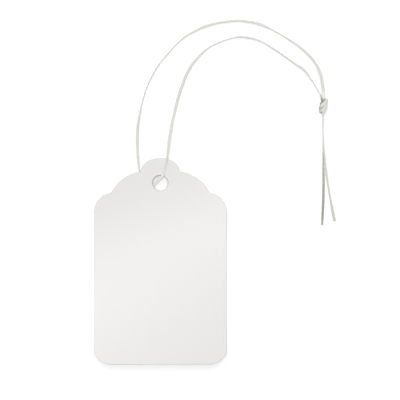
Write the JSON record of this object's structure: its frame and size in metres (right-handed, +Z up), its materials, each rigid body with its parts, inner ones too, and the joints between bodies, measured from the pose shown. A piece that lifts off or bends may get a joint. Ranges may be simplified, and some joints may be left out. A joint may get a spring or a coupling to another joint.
{
  "type": "strung price tag",
  "caption": "Die-cut card tag with a scalloped head and a punched hole, strung on a thin cotton string whose legs are tied in an overhand knot.",
  "frame": {"origin": "on the table, under the middle of the card, where the bottom of the card's bounding box is centred; the free string isn't counted", "axes": "+X to the right across the card's printed side, +Y up the card from its square foot to its tab, +Z up from the table through the card's face"},
  "size_m": [0.0822, 0.117, 0.0033],
  "materials": {
    "board": "uncoated white ticket board, matt with a faint calendered sheen",
    "string": "two-ply cream cotton thread, matt"
  },
  "bodies": {
    "card": {"tag_card": "board"},
    "string": {"string_front_leg": "string", "string_back_leg": "string", "string_knot": "string", "string_tail_left": "string", "string_tail_right": "string"}
  },
  "joints": [
    {"name": "string_swing", "type": "hinge", "parent": "card", "child": "string", "pos_m": [0, 0.02649, 0], "axis": [0, 0, 1], "range_deg": [-48, 90]}
  ]
}
